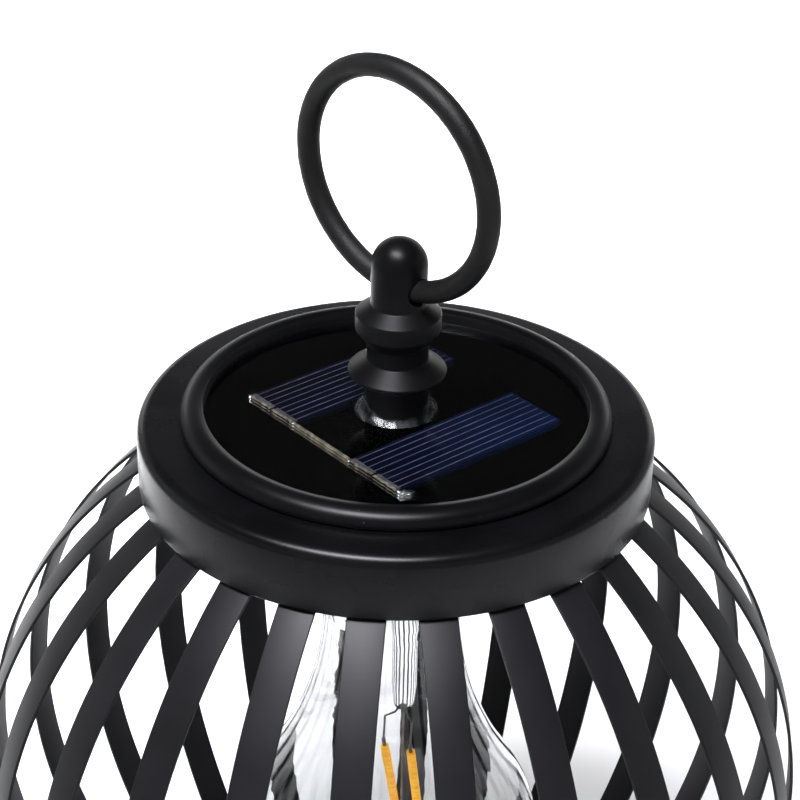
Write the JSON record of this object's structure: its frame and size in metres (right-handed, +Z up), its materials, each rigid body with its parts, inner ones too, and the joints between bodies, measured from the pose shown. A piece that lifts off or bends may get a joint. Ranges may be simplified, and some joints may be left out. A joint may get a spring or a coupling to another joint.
{
  "type": "solar garden light",
  "caption": "Solar lantern: a ball-shaped cage of black metal strips on a round base, a solar panel lid with a finial and ring handle, and a clear filament bulb.",
  "frame": {"origin": "centre of the base, on the ground that the feet stand on", "axes": "+Z up along the lantern's axis, +X along the finial's cross hole that the ring swings in"},
  "size_m": [0.2074, 0.2074, 0.3074],
  "materials": {
    "black_coat": "satin powder coat",
    "foot_rubber": "matte",
    "black_plastic": "satin",
    "finial_plastic": "satin",
    "ring_black": "grainy matte",
    "panel_black": "glossy",
    "cell_blue": "glossy",
    "silver_print": "satin",
    "clear_cover": "glossy",
    "clear_glue": "glossy",
    "zinc_steel": "zinc",
    "board_green": "solder mask",
    "part_black": "matte",
    "battery_skin": "shrink sleeve",
    "wire_red": "glossy",
    "cap_metal": "bright",
    "bulb_clear": "clear",
    "lead_metal": "bright",
    "filament_amber": "coated"
  },
  "bodies": {
    "cage": {"lid_cap": "black_coat", "top_hoop": "black_coat", "base_hoop": "black_coat", "base_pan": "black_coat", "base_feet": "foot_rubber", "cage_strip_01": "black_coat", "cage_strip_02": "black_coat", "cage_strip_03": "black_coat", "cage_strip_04": "black_coat", "cage_strip_05": "black_coat", "cage_strip_06": "black_coat", "cage_strip_07": "black_coat", "cage_strip_08": "black_coat", "cage_strip_09": "black_coat", "cage_strip_10": "black_coat", "cage_strip_11": "black_coat", "cage_strip_12": "black_coat", "cage_strip_13": "black_coat", "cage_strip_14": "black_coat", "cage_strip_15": "black_coat", "cage_strip_16": "black_coat", "cage_strip_17": "black_coat", "cage_strip_18": "black_coat", "cage_strip_19": "black_coat", "cage_strip_20": "black_coat", "cage_strip_21": "black_coat", "cage_strip_22": "black_coat", "cage_strip_23": "black_coat", "cage_strip_24": "black_coat"},
    "gasket": {"module_gasket": "foot_rubber"},
    "module": {"module_bezel": "black_plastic", "module_housing": "black_plastic", "panel_board": "panel_black", "solar_cells": "cell_blue", "cell_busbars": "silver_print", "tab_ribbon": "silver_print", "panel_cover": "clear_cover", "finial_front_half": "finial_plastic", "finial_rear_half": "finial_plastic", "finial_screw": "zinc_steel", "glue_bead": "clear_glue", "battery_cell": "battery_skin", "battery_contacts": "zinc_steel", "battery_cover": "black_plastic", "cover_screws": "zinc_steel", "circuit_board": "board_green", "driver_parts": "part_black", "board_screws": "zinc_steel", "lead_wires": "wire_red", "switch_body": "black_plastic", "lamp_holder": "black_plastic", "holder_screws": "zinc_steel", "bulb_cap": "cap_metal", "bulb_glass": "bulb_clear", "bulb_stem": "bulb_clear", "bulb_leads": "lead_metal", "filaments": "filament_amber"},
    "switch": {"switch_knob": "black_plastic"},
    "handle": {"handle_ring": "ring_black"}
  },
  "joints": [
    {"name": "module_lift", "type": "slide", "parent": "cage", "child": "gasket", "axis": [0, 0, 1], "range_m": [0, 0.18]},
    {"name": "module_twist", "type": "hinge", "parent": "gasket", "child": "module", "pos_m": [0, 0, 0.21767], "axis": [0, 0, 1], "range_deg": [0, 20]},
    {"name": "switch_slide", "type": "slide", "parent": "module", "child": "switch", "axis": [0, 1, 0], "range_m": [0, 0.003]},
    {"name": "handle_swing", "type": "hinge", "parent": "module", "child": "handle", "pos_m": [0, 0, 0.25182], "axis": [1, 0, 0], "range_deg": [-122.05, 113.95]}
  ]
}
